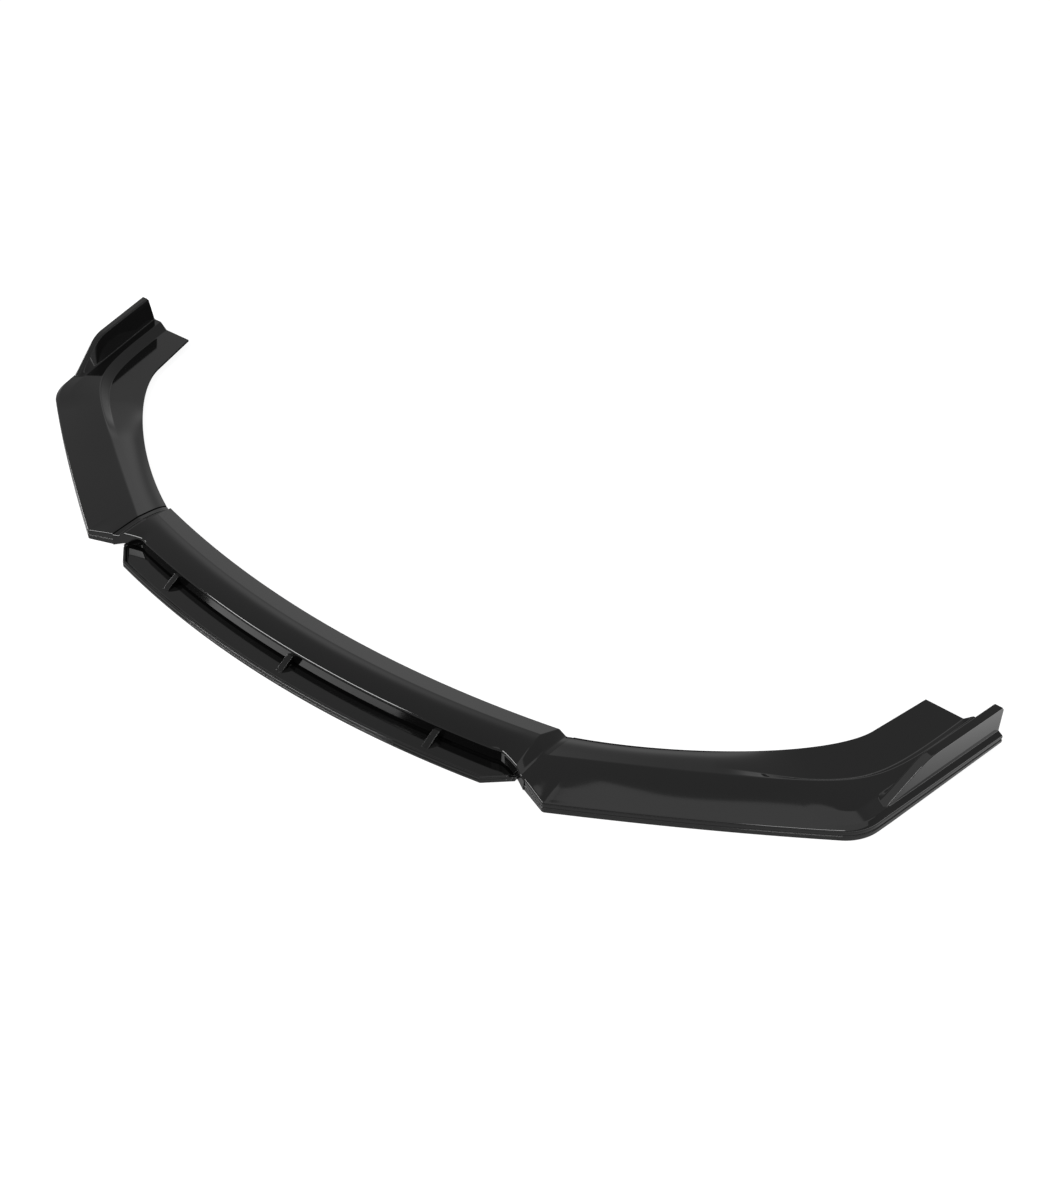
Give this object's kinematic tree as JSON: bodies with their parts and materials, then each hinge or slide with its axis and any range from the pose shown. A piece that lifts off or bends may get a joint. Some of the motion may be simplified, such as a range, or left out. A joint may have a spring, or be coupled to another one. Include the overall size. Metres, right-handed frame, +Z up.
{
  "type": "front splitter lip",
  "caption": "Front splitter lip for a car: raised centre lip over a flat blade with struts, and side lips with upright winglets, bolted end to end.",
  "frame": {"origin": "on the ground, in the middle of the width and of the depth", "axes": "+X to the right of someone who looks at the car's front, +Y to the car's rear, +Z up"},
  "size_m": [1.7, 0.519, 0.0675],
  "materials": {
    "gloss_black_plastic": "smooth high-gloss moulded surface",
    "zinc_plated_steel": "bright zinc plating"
  },
  "bodies": {
    "root": {"centre_lip": "gloss_black_plastic", "left_side_lip": "gloss_black_plastic", "right_side_lip": "gloss_black_plastic", "centre_blade": "gloss_black_plastic", "blade_screw_1": "zinc_plated_steel", "blade_screw_2": "zinc_plated_steel", "blade_screw_3": "zinc_plated_steel", "blade_screw_4": "zinc_plated_steel", "blade_screw_5": "zinc_plated_steel", "left_joint_screw_1": "zinc_plated_steel", "left_joint_screw_2": "zinc_plated_steel", "left_joint_screw_3": "zinc_plated_steel", "left_joint_head_washer_1": "zinc_plated_steel", "left_joint_head_washer_2": "zinc_plated_steel", "left_joint_head_washer_3": "zinc_plated_steel", "left_joint_nut_washer_1": "zinc_plated_steel", "left_joint_nut_washer_2": "zinc_plated_steel", "left_joint_nut_washer_3": "zinc_plated_steel", "left_joint_nut_1": "zinc_plated_steel", "left_joint_nut_2": "zinc_plated_steel", "left_joint_nut_3": "zinc_plated_steel", "right_joint_screw_1": "zinc_plated_steel", "right_joint_screw_2": "zinc_plated_steel", "right_joint_screw_3": "zinc_plated_steel", "right_joint_head_washer_1": "zinc_plated_steel", "right_joint_head_washer_2": "zinc_plated_steel", "right_joint_head_washer_3": "zinc_plated_steel", "right_joint_nut_washer_1": "zinc_plated_steel", "right_joint_nut_washer_2": "zinc_plated_steel", "right_joint_nut_washer_3": "zinc_plated_steel", "right_joint_nut_1": "zinc_plated_steel", "right_joint_nut_2": "zinc_plated_steel", "right_joint_nut_3": "zinc_plated_steel"}
  },
  "joints": []
}
